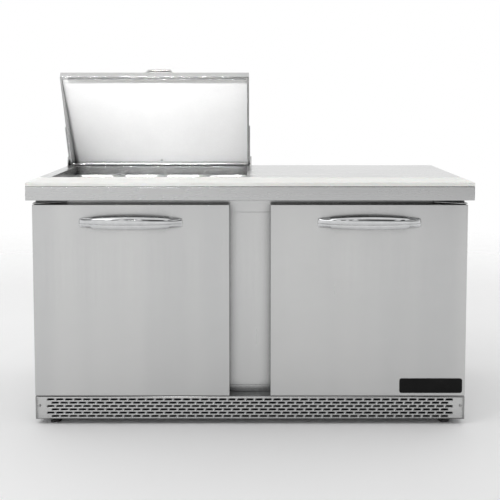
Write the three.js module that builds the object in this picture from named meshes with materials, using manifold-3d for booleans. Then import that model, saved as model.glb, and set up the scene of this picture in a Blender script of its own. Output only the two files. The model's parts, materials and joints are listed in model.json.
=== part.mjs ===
// Sandwich prep table: a two-door refrigerated base with a stainless worktop, a full-width cutting board,
// eight food pans under a hinged insulated lid, and a self-contained condensing unit behind a bottom grille.
//
// Millimetres, +Z up, +X to the right of a person at the table, who stands on the -Y side.
// The parts are laid out with y measured back from the front face of the worktop's fascia,
// and the whole group is then moved back so that the origin is on the floor under its middle.

import * as THREE from 'three';
import { mergeVertices } from 'three/addons/utils/BufferGeometryUtils.js';
import Module from 'manifold-3d';

const wasm = await Module();
wasm.setup();

// ---------------------------------------------------------------- driving dimensions

const TOP_WIDTH = 1524;            // worktop, end to end
const TOP_DEPTH = 762;             // worktop, front to back
const TOP_Z = 845;                 // work surface above the floor
const TOP_HEIGHT = 61;             // worktop, surface to the bottom of its fascia
const SHEET = 1.2;                 // stainless sheet
const GAP = 0.3;                   // air between two pieces that touch

const CABINET_WIDTH = 1488;
const FRAME_Y = 75;                // front face of the door frame
const FRAME_RETURN = 5.5;          // how far the frame's edges fold back
const BACK_Y = 744;                // back of the cabinet
const BASE_Z = 19;                 // underside of the base, on top of the feet
const BASE_TOP_Z = 98.5;           // top of the base and its grille
const LOWER_SEAM_Z = 123;          // mullion foot, on the bottom rail
const UPPER_SEAM_Z = 735.5;        // mullion head, under the top rail

const DOOR_WIDTH = 673;
const DOOR_BOTTOM_Z = 101.6;
const DOOR_TOP_Z = 767;
const DOOR_FRONT_Y = 20;
const DOOR_BACK_Y = 68;
const PIVOT_INSET = 10;            // hinge pin, in from the door's outer side
const PIVOT_Y = 34;
const PIN_RADIUS = 4;

const HANDLE_LENGTH = 354;
const HANDLE_HEIGHT = 44;
const HANDLE_BOW = 45;             // how far the handle's middle stands off the door
const HANDLE_Z = 705;

const BOARD_DEPTH = 203;
const BOARD_THICKNESS = 12.7;

const WELL_X = [-719, -11];        // inside faces of the pan well
const WELL_Y = [213, 715];
const WELL_DEPTH = 150;
const PAN_COLUMNS = 4;
const PAN_ROWS = 2;
const PAN_SIZE = [174.6, 160.3];   // one-sixth size, over the rim
const PAN_PITCH = [176.5, 164.3];
const PAN_DEPTH = 100;
const PAN_RIM_Z = TOP_Z - 36.7;    // underside of the pan rims
const PAN_BACK_Y = 703;            // back edge of the rear row's rims
const WELL_FRONT_WALL_Y = PAN_BACK_Y - PAN_PITCH[1] - PAN_SIZE[1] - 6;

const LID_X = [-746, -4];
const LID_AXIS_Y = 718;
const LID_AXIS_Z = TOP_Z + 10;
const LID_LENGTH = 404;            // hinge axis to the front lip
const LID_OPEN_DEG = 62.9;
const LID_WALL = 7;                // side walls, skin to skin

const GRILLE_ROWS = 6;
const GRILLE_COLUMNS = 11;

// ---------------------------------------------------------------- materials

function material(color, roughness, metalness) {
  return new THREE.MeshStandardMaterial({ color, roughness, metalness });
}

const steel = material(0xc4c6c6, 0.35, 1);
const galvanised = material(0xa3a7a8, 0.5, 1);
const chrome = material(0xd8dadc, 0.08, 1);
const brightPanel = material(0xeef0f0, 0.3, 0.2);
const boardPlastic = material(0xf0f0eb, 0.55, 0);
const linerPlastic = material(0xe4e6e6, 0.45, 0);
const gasketRubber = material(0x6d6f70, 0.8, 0);
const blackPlastic = material(0x121212, 0.5, 0);
const blackEnamel = material(0x17181a, 0.4, 0.3);
const copper = material(0xb66a3c, 0.35, 1);
const fin = material(0xb9bdc0, 0.45, 1);
const wire = material(0xdedfdd, 0.4, 0);

// ---------------------------------------------------------------- geometry helpers

/** A box between two corners. */
function box(x, y, z) {
  const geometry = new THREE.BoxGeometry(x[1] - x[0], y[1] - y[0], z[1] - z[0]);
  return geometry.translate((x[0] + x[1]) / 2, (y[0] + y[1]) / 2, (z[0] + z[1]) / 2);
}

/** An outline of [y, z] points run along X. */
function alongX(outline, x) {
  const shape = new THREE.Shape(outline.map(([y, z]) => new THREE.Vector2(y, z)));
  const geometry = new THREE.ExtrudeGeometry(shape, { depth: x[1] - x[0], bevelEnabled: false });
  const axes = [[0, 1, 0], [0, 0, 1], [1, 0, 0]].map((v) => new THREE.Vector3(...v));
  return geometry.applyMatrix4(new THREE.Matrix4().makeBasis(...axes)).translate(x[0], 0, 0);
}

/** An outline of [x, y] points run up Z. */
function alongZ(outline, z) {
  const shape = new THREE.Shape(outline.map(([x, y]) => new THREE.Vector2(x, y)));
  return new THREE.ExtrudeGeometry(shape, { depth: z[1] - z[0], bevelEnabled: false }).translate(0, 0, z[0]);
}

/** A rod between two points on one axis: 'x', 'y' or 'z'. */
function rod(axis, centre, radius, from, to, sides = 16) {
  const geometry = new THREE.CylinderGeometry(radius, radius, to - from, sides);
  const middle = (from + to) / 2;
  if (axis === 'x') return geometry.rotateZ(Math.PI / 2).translate(middle, centre[0], centre[1]);
  if (axis === 'y') return geometry.translate(centre[0], middle, centre[1]);
  return geometry.rotateX(Math.PI / 2).translate(centre[0], centre[1], middle);
}

/** A profile of [radius, height] points turned round Z and stood at a place. */
function turned(profile, place, sides = 16) {
  const points = profile.map(([r, z]) => new THREE.Vector2(r, z));
  return new THREE.LatheGeometry(points, sides).rotateX(Math.PI / 2).translate(...place);
}

/** The points of a rectangle with round corners, centred on the origin. */
function roundedRectangle(width, depth, radius, steps = 2) {
  const points = [];
  for (let corner = 0; corner < 4; corner += 1) {
    const sx = corner === 0 || corner === 3 ? 1 : -1;
    const sy = corner < 2 ? 1 : -1;
    for (let i = 0; i <= steps; i += 1) {
      const a = (corner + i / steps) * Math.PI / 2;
      const x = sx * (width / 2 - radius) + radius * Math.cos(a);
      const y = sy * (depth / 2 - radius) + radius * Math.sin(a);
      points.push([x, y]);
    }
  }
  return points;
}

/** A round-cornered block that narrows towards its bottom by a ratio. */
function taperedBlock(width, depth, radius, z, ratio) {
  const geometry = alongZ(roundedRectangle(width, depth, radius), z);
  const position = geometry.attributes.position;
  for (let i = 0; i < position.count; i += 1) {
    if (position.getZ(i) < (z[0] + z[1]) / 2) {
      position.setXY(i, position.getX(i) * ratio, position.getY(i) * ratio);
    }
  }
  return geometry;
}

function toSolid(geometry) {
  const bare = geometry.clone();
  bare.deleteAttribute('normal');
  bare.deleteAttribute('uv');
  const merged = mergeVertices(bare, 1e-4);
  return new wasm.Manifold(new wasm.Mesh({
    numProp: 3,
    vertProperties: new Float32Array(merged.attributes.position.array),
    triVerts: new Uint32Array(merged.index.array),
  }));
}

function toGeometry(solid) {
  const mesh = solid.getMesh();
  const geometry = new THREE.BufferGeometry();
  geometry.setAttribute('position', new THREE.BufferAttribute(mesh.vertProperties, 3));
  geometry.setIndex(new THREE.BufferAttribute(mesh.triVerts, 1));
  geometry.computeVertexNormals();
  return geometry;
}

/** The first geometry with the others joined on. */
function join(first, ...others) {
  return toGeometry(others.reduce((sum, next) => sum.add(toSolid(next)), toSolid(first)));
}

/** The first geometry with the others cut away. */
function cut(first, ...others) {
  return toGeometry(others.reduce((rest, next) => rest.subtract(toSolid(next)), toSolid(first)));
}

function intersect(a, b) {
  return toGeometry(toSolid(a).intersect(toSolid(b)));
}

/** A mesh named after its node. */
function piece(name, geometry, look) {
  const mesh = new THREE.Mesh(geometry, look);
  mesh.name = name;
  return mesh;
}

const HALF = CABINET_WIDTH / 2;
const OPENING_X = HALF - 40;       // inner edge of each side panel's front return
const FASCIA_BOTTOM_Z = TOP_Z - TOP_HEIGHT;
const LEDGE_Z = TOP_Z - BOARD_THICKNESS - GAP;

// ---------------------------------------------------------------- cabinet shell

function sidePanel(side) {
  const out = side * HALF;
  const inward = (distance) => out - side * distance;
  const profile = [
    [out, FRAME_Y], [inward(40), FRAME_Y], [inward(40), FRAME_Y + SHEET], [inward(SHEET), FRAME_Y + SHEET],
    [inward(SHEET), BACK_Y], [out, BACK_Y],
  ];
  return alongZ(side > 0 ? profile.reverse() : profile, [BASE_TOP_Z + GAP, FASCIA_BOTTOM_Z - GAP]);
}

const CORD_HOLE = [600, 160];      // x, z of the cord's hole in the back panel

function backPanel() {
  const half = HALF - 1.5;
  const sheet = box([-half, half], [BACK_Y - SHEET, BACK_Y], [BASE_TOP_Z + GAP, FASCIA_BOTTOM_Z - GAP]);
  return cut(sheet, rod('y', CORD_HOLE, 9, BACK_Y - 5, BACK_Y + 5));
}

/** A rail of the door frame: a sheet folded back along its top and bottom. */
function frameRail(z) {
  const back = FRAME_Y + FRAME_RETURN;
  const profile = [
    [FRAME_Y, z[0]], [back, z[0]], [back, z[0] + SHEET], [FRAME_Y + SHEET, z[0] + SHEET],
    [FRAME_Y + SHEET, z[1] - SHEET], [back, z[1] - SHEET], [back, z[1]], [FRAME_Y, z[1]],
  ];
  return alongX(profile, [-OPENING_X + GAP, OPENING_X - GAP]);
}

function mullion() {
  const half = 95;
  const back = FRAME_Y + FRAME_RETURN;
  const profile = [
    [-half, FRAME_Y], [half, FRAME_Y], [half, back], [half - SHEET, back], [half - SHEET, FRAME_Y + SHEET],
    [-half + SHEET, FRAME_Y + SHEET], [-half + SHEET, back], [-half, back],
  ];
  return alongZ(profile, [LOWER_SEAM_Z + GAP, UPPER_SEAM_Z - GAP]);
}

/** The base: a sheet tray open to the grille in front and to the machine space above. */
function basePan() {
  const half = HALF - 0.5;
  const front = DOOR_FRONT_Y + 1.6;
  const floor = BASE_Z + GAP;
  const top = BASE_TOP_Z - GAP;
  const block = box([-half, half], [front, BACK_Y], [floor, top]);
  const insideX = [-half + SHEET, half - SHEET];
  const inside = box(insideX, [front - 5, BACK_Y - SHEET], [floor + SHEET, top - SHEET]);
  const above = box(insideX, [FRAME_Y + 15, BACK_Y - SHEET], [top - 5, top + 5]);
  return cut(block, inside, above);
}

const LINER_X = OPENING_X - 2;
const LINER_Y = [81, 700];
const LINER_Z = [128, 768];
const STEP_Y = 545;                // the step over the machine space
const STEP_Z = 320;
const SHELF_Z = 444;
const LEDGE_Y = [100, 540];        // shelf ledges, front to back

/** The moulded inner liner: an open-fronted box, stepped over the machine space, with a ledge each side.
 * Its left side and ceiling are cut away where the pan well hangs in. */
function interiorLiner() {
  const wall = 1.5;
  const shell = alongX([
    [LINER_Y[0], LINER_Z[0] - wall], [STEP_Y, LINER_Z[0] - wall], [STEP_Y, STEP_Z - wall],
    [LINER_Y[1] + wall, STEP_Z - wall], [LINER_Y[1] + wall, LINER_Z[1] + wall],
    [LINER_Y[0], LINER_Z[1] + wall],
  ], [-LINER_X - wall, LINER_X + wall]);
  const hollow = alongX([
    [LINER_Y[0] - 5, LINER_Z[0]], [STEP_Y - wall, LINER_Z[0]], [STEP_Y - wall, STEP_Z],
    [LINER_Y[1], STEP_Z], [LINER_Y[1], LINER_Z[1]], [LINER_Y[0] - 5, LINER_Z[1]],
  ], [-LINER_X, LINER_X]);
  const wellHole = box([WELL_X[0] - 5, WELL_X[1] + 3], [WELL_FRONT_WALL_Y + 8, LINER_Y[1] - 1],
    [TOP_Z - WELL_DEPTH - 3, LINER_Z[1] + 5]);
  const ledges = [[-LINER_X - 1, -LINER_X + 12], [LINER_X - 12, LINER_X + 1]]
    .map((x) => box(x, LEDGE_Y, [SHELF_Z - 10, SHELF_Z]));
  return join(cut(shell, hollow, wellHole), ...ledges);
}

/** A post behind the mullion with a bar that carries the inner edges of both shelves. */
function shelfPost() {
  const post = box([-12, 12], [110, 130], [LINER_Z[0] + GAP, LINER_Z[1] - GAP]);
  const bar = box([-22, 22], [108, LEDGE_Y[1]], [SHELF_Z - 10, SHELF_Z]);
  const foot = box([-12, 12], [515, 535], [LINER_Z[0] + GAP, SHELF_Z - 5]);
  return join(post, bar, foot);
}

function shelf(side) {
  const x = side < 0 ? [-LINER_X + 2, -13] : [13, LINER_X - 2];
  const z = [SHELF_Z + GAP, SHELF_Z + 5];
  const slots = 12;
  const pitch = (x[1] - x[0] - 16) / slots;
  const holes = [];
  for (let i = 0; i < slots; i += 1) {
    const from = x[0] + 8 + i * pitch + 4;
    holes.push(box([from, from + pitch - 8], [112, 316], [z[0] - 5, z[1] + 5]));
    holes.push(box([from, from + pitch - 8], [324, 528], [z[0] - 5, z[1] + 5]));
  }
  return cut(box(x, [104, 536], z), ...holes);
}

/** The bottom grille: one sheet with staggered rows of slots. */
function grille() {
  const half = HALF - 0.5;
  const margin = 40;
  const pitch = (2 * (half - margin)) / GRILLE_COLUMNS;
  const web = 7;
  const slotHeight = 6.4;
  const rowPitch = 11.8;
  const firstRow = BASE_Z + 10;
  const slots = [];
  for (let row = 0; row < GRILLE_ROWS; row += 1) {
    const count = GRILLE_COLUMNS - (row % 2);
    const start = -half + margin + (row % 2) * pitch / 2;
    const z = firstRow + row * rowPitch;
    for (let i = 0; i < count; i += 1) {
      const from = start + i * pitch + web / 2;
      const through = [DOOR_FRONT_Y - 5, DOOR_FRONT_Y + 5];
      slots.push(box([from, from + pitch - web], through, [z - slotHeight / 2, z + slotHeight / 2]));
    }
  }
  return cut(box([-half, half], [DOOR_FRONT_Y, DOOR_FRONT_Y + SHEET], [BASE_Z + GAP, BASE_TOP_Z]), ...slots);
}

function foot(x, y) {
  const top = BASE_Z;
  return turned([[0, 0], [17, 0], [20, 3], [20, 9], [14, 14], [14, top], [0, top]], [x, y, 0]);
}

// ---------------------------------------------------------------- worktop, pan well and pans

/** The worktop: a folded sheet with a recess for the board and an opening for the pan well. */
function worktop() {
  const half = TOP_WIDTH / 2;
  const sheet = 1.5;
  const hem = 12;
  const riser = BOARD_DEPTH + 2;
  const block = box([-half, half], [0, TOP_DEPTH], [FASCIA_BOTTOM_Z, TOP_Z]);
  const recess = box([-half - 5, half + 5], [-5, riser], [LEDGE_Z, TOP_Z + 5]);
  const frontHollow = box([-half + sheet, half - sheet], [sheet, riser + sheet + 1],
    [FASCIA_BOTTOM_Z + sheet, LEDGE_Z - sheet]);
  const rearHollow = box([-half + sheet, half - sheet], [riser + sheet, TOP_DEPTH - sheet],
    [FASCIA_BOTTOM_Z + sheet, TOP_Z - sheet]);
  const underside = box([-half + hem, half - hem], [hem, TOP_DEPTH - hem],
    [FASCIA_BOTTOM_Z - 5, FASCIA_BOTTOM_Z + 5]);
  const opening = box(WELL_X, WELL_Y, [TOP_Z - 5, TOP_Z + 5]);
  return cut(block, recess, frontHollow, rearHollow, underside, opening);
}

/** The pan well: a sheet box hung in the worktop's opening, with ledges for the pan rims. */
function panWell() {
  const sheet = 1;
  const top = TOP_Z - 1.5 - GAP;
  const shoulder = TOP_Z - 14;
  const ledge = PAN_RIM_Z - GAP;
  const frontWall = WELL_FRONT_WALL_Y;
  const frontLip = frontWall + 12.5;
  const backLip = PAN_BACK_Y - 6.5;
  const bottom = TOP_Z - WELL_DEPTH;
  const block = alongX([
    [WELL_Y[0] - 6, top], [WELL_Y[0] - 6, top - sheet], [WELL_Y[0], top - sheet],
    [WELL_Y[0], shoulder - sheet], [frontWall, shoulder - sheet], [frontWall, ledge - sheet],
    [frontLip - sheet, ledge - sheet],
    [frontLip - sheet, bottom], [backLip + sheet, bottom], [backLip + sheet, ledge - sheet],
    [WELL_Y[1] + sheet, ledge - sheet], [WELL_Y[1] + sheet, top - sheet], [WELL_Y[1] + 12, top - sheet],
    [WELL_Y[1] + 12, top],
  ], [WELL_X[0] - sheet, WELL_X[1] + sheet]);
  const hollow = alongX([
    [WELL_Y[0] + sheet, top + 5], [WELL_Y[0] + sheet, shoulder], [frontWall + sheet, shoulder],
    [frontWall + sheet, ledge], [frontLip, ledge], [frontLip, bottom - 5], [backLip, bottom - 5],
    [backLip, ledge], [WELL_Y[1], ledge], [WELL_Y[1], top + 5],
  ], WELL_X);
  return cut(block, hollow);
}

/** The removable bar between the two rows of pans. */
function dividerBar() {
  const middle = PAN_BACK_Y - PAN_SIZE[1] - (PAN_PITCH[1] - PAN_SIZE[1]) / 2;
  const top = PAN_RIM_Z - GAP;
  return box([WELL_X[0] + GAP, WELL_X[1] - GAP], [middle - 8, middle + 8], [top - 18, top]);
}

/** One pan, centred on the origin in plan, at its height in the table. */
function panGeometry() {
  const [width, depth] = PAN_SIZE;
  const rim = 7;
  const wall = 1;
  const corner = 18;
  const ratio = 0.88;
  const floor = PAN_RIM_Z - PAN_DEPTH;
  const bodyTop = PAN_RIM_Z + 1;
  const body = taperedBlock(width - 2 * rim, depth - 2 * rim, corner, [floor, bodyTop], ratio);
  const flange = alongZ(roundedRectangle(width, depth, corner + 4), [PAN_RIM_Z, PAN_RIM_Z + 2]);
  const hollow = taperedBlock(width - 2 * (rim + wall), depth - 2 * (rim + wall), corner - wall,
    [floor + wall, bodyTop + 6], ratio);
  return cut(join(body, flange), hollow);
}

// ---------------------------------------------------------------- lid, closed, about its hinge axis

const REAR_SLOPE = new THREE.Vector2(0.447, 0.894);      // rear wall's lean
const LID_NOSE = [-LID_LENGTH - 9.5, 10];
const LID_RIM_Z = -8;
const LID_REAR_FOOT = [8.5, -4.2];
const LID_REAR_TOP = [LID_REAR_FOOT[0] + 122 * REAR_SLOPE.x, LID_REAR_FOOT[1] + 122 * REAR_SLOPE.y];
const PANEL_FRONT = [-LID_LENGTH + 9, -2];
const PANEL_REAR = [42, 84];

/** The outer shell: a wedge-shaped hood of folded sheet, open underneath. */
function lidShell() {
  const outside = alongX([
    [-LID_LENGTH, LID_RIM_Z], LID_NOSE, LID_REAR_TOP, LID_REAR_FOOT, [4, LID_RIM_Z],
  ], LID_X);
  const inside = alongX([
    [-LID_LENGTH + 1.2, LID_RIM_Z - 5], [-LID_LENGTH + 1.2, LID_RIM_Z], [LID_NOSE[0] + 2, LID_NOSE[1] - 1.6],
    [LID_REAR_TOP[0] - 1.8, LID_REAR_TOP[1] - 1.6], [LID_REAR_FOOT[0] - 1.4, LID_REAR_FOOT[1]],
    [2.8, LID_RIM_Z], [2.8, LID_RIM_Z - 5],
  ], [LID_X[0] + SHEET, LID_X[1] - SHEET]);
  return cut(outside, inside, ...[LID_X[0], LID_X[1]].map((x) => rod('x', [0, 0], 4.6, x - 5, x + 5)));
}

/** The inner panel: a formed tray inside the hood, with a skirt along the front that closes on the well. */
function lidPanel() {
  const skin = 1.2;
  const x = [LID_X[0] + SHEET + GAP, LID_X[1] - SHEET - GAP];
  const innerX = [LID_X[0] + LID_WALL, LID_X[1] - LID_WALL];
  const front = -LID_LENGTH + 1.2 + 0.4;
  const rim = LID_RIM_Z;
  const backFoot = [LID_REAR_FOOT[0] - 2.6, LID_REAR_FOOT[1]];
  const block = alongX([
    [front, rim], [front - 2, rim + 4], [PANEL_FRONT[0] - 4, PANEL_FRONT[1] + 3.5],
    [PANEL_REAR[0] + 1, PANEL_REAR[1] + skin + 1], [PANEL_REAR[0] + 6, PANEL_REAR[1] - 1], backFoot, [2, rim],
  ], x);
  const dish = alongX([
    [PANEL_FRONT[0], rim - 5], PANEL_FRONT, PANEL_REAR, [-1.5, -4], [-1.5, rim - 5],
  ], innerX);
  const skirt = box([WELL_X[0] + 3, WELL_X[1] - 3], [PANEL_FRONT[0] - 1.5, PANEL_FRONT[0]],
    [rim - 12, rim + 3]);
  const pocket = (side) => {
    const wallX = side < 0 ? [x[0] - 5, innerX[0] - skin] : [innerX[1] + skin, x[1] + 5];
    return alongX([
      [PANEL_FRONT[0] + 6, rim + skin], [PANEL_FRONT[0] + 6, 40], [60, 120], [60, 60], [0, rim + skin],
    ], wallX);
  };
  const pinHole = rod('x', [0, 0], 4.6, x[0] - 5, x[1] + 5);
  return cut(join(cut(block, dish), skirt), pocket(-1), pocket(1), pinHole);
}

/** A strap that carries the lid on its hinge pin, outside the lid's side. */
function lidArm(x) {
  const length = 172;
  const outline = [[5, -7], [9, -1], [9, 8], [3, 20], [-length + 6, 22], [-length, 16], [-length, -7]];
  return cut(alongX(outline, x), rod('x', [0, 0], 4.6, x[0] - 5, x[1] + 5));
}

/** The lid's pull: a folded trapezoid loop that stands on the skin just behind the nose. */
function lidHandle() {
  const skinAngle = Math.atan2(LID_REAR_TOP[1] - LID_NOSE[1], LID_REAR_TOP[0] - LID_NOSE[0]);
  const height = 34;
  const flat = (points) => points.map((p) => new THREE.Vector2(...p));
  const outer = new THREE.Shape(flat([[-61, 0], [61, 0], [45, height], [-45, height]]));
  outer.holes.push(new THREE.Path(flat([[-50, 8], [-38, height - 8], [38, height - 8], [50, 8]])));
  const loop = new THREE.ExtrudeGeometry(outer, { depth: 8, bevelEnabled: false });
  const setback = 18;
  const middle = (LID_X[0] + LID_X[1]) / 2 + 16;
  return loop.rotateX(Math.PI / 2).rotateX(skinAngle)
    .translate(middle, LID_NOSE[0] + setback, LID_NOSE[1] + setback * Math.tan(skinAngle) + 0.6);
}

/** A fixed ear on the worktop with the hinge pin that the lid turns on. */
function lidBracket(earX, pinX) {
  const ear = alongX([[-32, 0], [34, 0], [34, 14], [20, 34], [6, 40], [-10, 36], [-22, 18]], earX);
  const pin = rod('x', [0, LID_AXIS_Z - TOP_Z - GAP], PIN_RADIUS, pinX[0], pinX[1]);
  return join(ear, pin);
}

// ---------------------------------------------------------------- doors, about their hinge pins

/** Every door is built from its hinge side: side -1 is hinged on the left, +1 on the right. */
function doorRange(side) {
  return side < 0 ? [-HALF, -HALF + DOOR_WIDTH] : [HALF - DOOR_WIDTH, HALF];
}

const pivotX = (side) => side * (HALF - PIVOT_INSET);

function doorSkin(side) {
  const x = doorRange(side);
  const sheet = 1;
  const block = box(x, [DOOR_FRONT_Y, DOOR_BACK_Y], [DOOR_BOTTOM_Z, DOOR_TOP_Z]);
  const inside = box([x[0] + sheet, x[1] - sheet], [DOOR_FRONT_Y + sheet, DOOR_BACK_Y + 5],
    [DOOR_BOTTOM_Z + sheet, DOOR_TOP_Z - sheet]);
  const pinHoles = rod('z', [pivotX(side), PIVOT_Y], PIN_RADIUS + 1, DOOR_BOTTOM_Z - 5, DOOR_TOP_Z + 5);
  return cut(block, inside, pinHoles);
}

/** The door's inner liner: a tray with a raised field that fills the door opening. */
function doorLiner(side) {
  const x = doorRange(side).map((v, i) => v + (i ? -1.4 : 1.4));
  const z = [DOOR_BOTTOM_Z + 1.4, DOOR_TOP_Z - 1.4];
  const edge = 46;
  const wall = 1.4;
  const raise = 10;
  const plate = box(x, [DOOR_BACK_Y - 1.6, DOOR_BACK_Y - 0.2], z);
  const field = box([x[0] + edge, x[1] - edge], [DOOR_BACK_Y - 1, DOOR_BACK_Y + raise],
    [z[0] + edge, z[1] - edge]);
  const pocket = box([x[0] + edge + wall, x[1] - edge - wall], [DOOR_BACK_Y - 5, DOOR_BACK_Y + raise - wall],
    [z[0] + edge + wall, z[1] - edge - wall]);
  return cut(join(plate, field), pocket);
}

function doorGasket(side) {
  const x = doorRange(side);
  const inset = [side < 0 ? 8 : 4, side < 0 ? 4 : 8];
  const band = 16;
  const y = [DOOR_BACK_Y + 0.1, FRAME_Y - GAP];
  const outerX = [x[0] + inset[0], x[1] - inset[1]];
  const outerZ = [DOOR_BOTTOM_Z + 4, DOOR_TOP_Z - 4];
  return cut(box(outerX, y, outerZ), box([outerX[0] + band, outerX[1] - band], [y[0] - 5, y[1] + 5],
    [outerZ[0] + band, outerZ[1] - band]));
}

/** The bow handle: a plan arc with feet on the door, trimmed to a lens from the front. */
function doorHandle(side) {
  const half = HANDLE_LENGTH / 2;
  const centre = (doorRange(side)[0] + doorRange(side)[1]) / 2;
  const thickness = 13;
  const stand = HANDLE_BOW;
  const face = DOOR_FRONT_Y - GAP;
  const steps = 12;
  const outer = [];
  const inner = [];
  for (let i = 0; i <= steps; i += 1) {
    const t = -1 + (2 * i) / steps;
    const bow = stand * Math.pow(1 - Math.pow(Math.abs(t), 2.6), 0.8);
    outer.push([centre + t * half, face - bow]);
    if (i > 1 && i < steps - 1) inner.push([centre + t * half * 0.93, face - Math.max(bow - thickness, 8)]);
  }
  const grip = [[centre + half * 0.74, face], ...inner.reverse(), [centre - half * 0.74, face]];
  const tall = [HANDLE_Z - HANDLE_HEIGHT / 2, HANDLE_Z + HANDLE_HEIGHT / 2];
  const arc = alongZ([...outer, ...grip].reverse(), tall);
  const lens = [];
  for (let i = 0; i < 24; i += 1) {
    const a = (i / 24) * 2 * Math.PI;
    const squash = Math.pow(Math.abs(Math.sin(a)), 0.45) * Math.sign(Math.sin(a));
    lens.push([centre + half * Math.cos(a), HANDLE_Z + (HANDLE_HEIGHT / 2) * squash]);
  }
  const front = alongZ(lens, [0, 90]).rotateX(Math.PI / 2).translate(0, DOOR_FRONT_Y + 5, 0);
  return intersect(arc, front);
}

/** A hinge bracket on the door frame, with the pin that stands into the door. */
function doorBracket(side, top) {
  const out = side * HALF;
  const plate = top ? [DOOR_TOP_Z + 3, DOOR_TOP_Z + 6] : [BASE_TOP_Z + GAP, DOOR_BOTTOM_Z - 0.6];
  const pin = top ? [DOOR_TOP_Z - 9, plate[0] + 1] : [plate[1] - 1, DOOR_BOTTOM_Z + 9];
  const flange = top ? [plate[0], plate[1] + 8] : [plate[0], DOOR_BOTTOM_Z + 2];
  const outline = [
    [out - side * 1, DOOR_FRONT_Y + 4], [out - side * 26, DOOR_FRONT_Y + 4], [out - side * 107, FRAME_Y - 12],
    [out - side * 107, FRAME_Y - GAP], [out - side * 1, FRAME_Y - GAP],
  ];
  const arm = alongZ(side < 0 ? outline : outline.reverse(), plate);
  const flangeX = [out - side * 1, out - side * 107].sort((a, b) => a - b);
  return join(arm, box(flangeX, [FRAME_Y - 3, FRAME_Y - GAP], flange),
    rod('z', [pivotX(side), PIVOT_Y], PIN_RADIUS, pin[0], pin[1]));
}

function namePlate() {
  const right = HALF - 10;
  const bottom = DOOR_BOTTOM_Z + 10;
  const outline = roundedRectangle(217, 51, 7).map(([x, z]) => [right - 108.5 + x, bottom + 25.5 + z]);
  return alongZ(outline, [0, 2]).rotateX(Math.PI / 2).translate(0, DOOR_FRONT_Y - GAP, 0);
}

// ---------------------------------------------------------------- refrigeration

const EVAPORATOR_X = [-130, 130];
const EVAPORATOR_Z = [340, 620];       // the cover, bottom to top
const EVAPORATOR_COIL_Z = [360, 600];
const EVAPORATOR_FAN = [0, 480];       // x, z of its axis
const CONDENSER_X = [-380, -120];
const CONDENSER_FAN = [-250, 165];
const COMPRESSOR = [330, 650];         // x, y of its axis
const BASE_FLOOR = BASE_Z + GAP + SHEET;

function evaporatorCover() {
  const front = 562;
  const half = 150;
  const shell = box([-half, half], [front, LINER_Y[1] - GAP], EVAPORATOR_Z);
  const inside = box([-half + 1, half - 1], [front + 1, LINER_Y[1] + 5],
    [EVAPORATOR_Z[0] + 1, EVAPORATOR_Z[1] - 1]);
  const fanHole = rod('y', EVAPORATOR_FAN, 76, front - 5, front + 5, 24);
  const outlet = box([-120, 120], [front + 30, front + 100], [EVAPORATOR_Z[0] - 5, EVAPORATOR_Z[0] + 5]);
  return cut(shell, inside, fanHole, outlet);
}

/** A finned coil: a block with air gaps cut into its front, so that its fins stand out from a common back. */
function coil(x, y, z, fins) {
  const pitch = (x[1] - x[0]) / fins;
  const gap = 0.66 * pitch;
  const depth = 0.85 * (y[1] - y[0]);
  const gaps = [];
  for (let i = 0; i < fins - 1; i += 1) {
    const from = x[0] + (i + 1) * pitch - gap / 2;
    gaps.push(box([from, from + gap], [y[0] - 5, y[0] + depth], [z[0] - 5, z[1] + 5]));
  }
  return cut(box(x, y, z), ...gaps);
}

/** Fan blades on a hub, with the fan's axis along Y. */
function fanBlades(centre, y, radius, blades) {
  const hub = rod('y', centre, 16, y[0], y[1], 16);
  const parts = [];
  for (let i = 0; i < blades; i += 1) {
    const blade = new THREE.BoxGeometry(radius * 0.5, 2, radius - 8).translate(0, 0, (radius + 8) / 2);
    parts.push(blade.rotateZ(0.42).rotateY((i / blades) * 2 * Math.PI)
      .translate(centre[0], (y[0] + y[1]) / 2, centre[1]));
  }
  return join(hub, ...parts);
}

/** A fan motor and the strap that holds it. */
function fanMotor(centre, y, radius, strapX) {
  const motor = rod('y', centre, radius, y[0], y[1], 16);
  const strap = box(strapX, [y[1] - 8, y[1] - 4], [centre[1] - 9, centre[1] + 9]);
  return join(motor, strap);
}

function compressor() {
  const floor = BASE_FLOOR + GAP;
  const dome = turned([[0, 12], [70, 12], [76, 22], [76, 130], [66, 160], [40, 178], [0, 184]],
    [COMPRESSOR[0], COMPRESSOR[1], floor], 20);
  const plate = box([COMPRESSOR[0] - 100, COMPRESSOR[0] + 100], [COMPRESSOR[1] - 60, COMPRESSOR[1] + 60],
    [floor + 8, floor + 14]);
  const grommets = [];
  for (const sx of [-1, 1]) {
    for (const sy of [-1, 1]) {
      grommets.push(rod('z', [COMPRESSOR[0] + sx * 85, COMPRESSOR[1] + sy * 45], 10, floor, floor + 9, 12));
    }
  }
  return join(dome, plate, ...grommets);
}

/** The pipe from the compressor to the condenser. */
function dischargeLine() {
  const route = new THREE.CatmullRomCurve3([
    [COMPRESSOR[0] - 77, COMPRESSOR[1], 150], [180, COMPRESSOR[1] + 10, 150], [120, COMPRESSOR[1] + 20, 110],
    [20, COMPRESSOR[1] + 20, 70], [-60, COMPRESSOR[1] - 20, 70], [CONDENSER_X[1] + 3, 606, 70],
  ].map((p) => new THREE.Vector3(...p)));
  const section = new THREE.Shape();
  section.absarc(0, 0, 4, 0, 2 * Math.PI, false);
  return new THREE.ExtrudeGeometry(section, { steps: 28, extrudePath: route, curveSegments: 4 });
}

function condensatePan() {
  const x = [-660, -440];
  const y = [585, 725];
  const z = [BASE_FLOOR + GAP, BASE_FLOOR + 42];
  return cut(box(x, y, z), box([x[0] + 1.5, x[1] - 1.5], [y[0] + 1.5, y[1] - 1.5], [z[0] + 1.5, z[1] + 5]));
}

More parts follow.
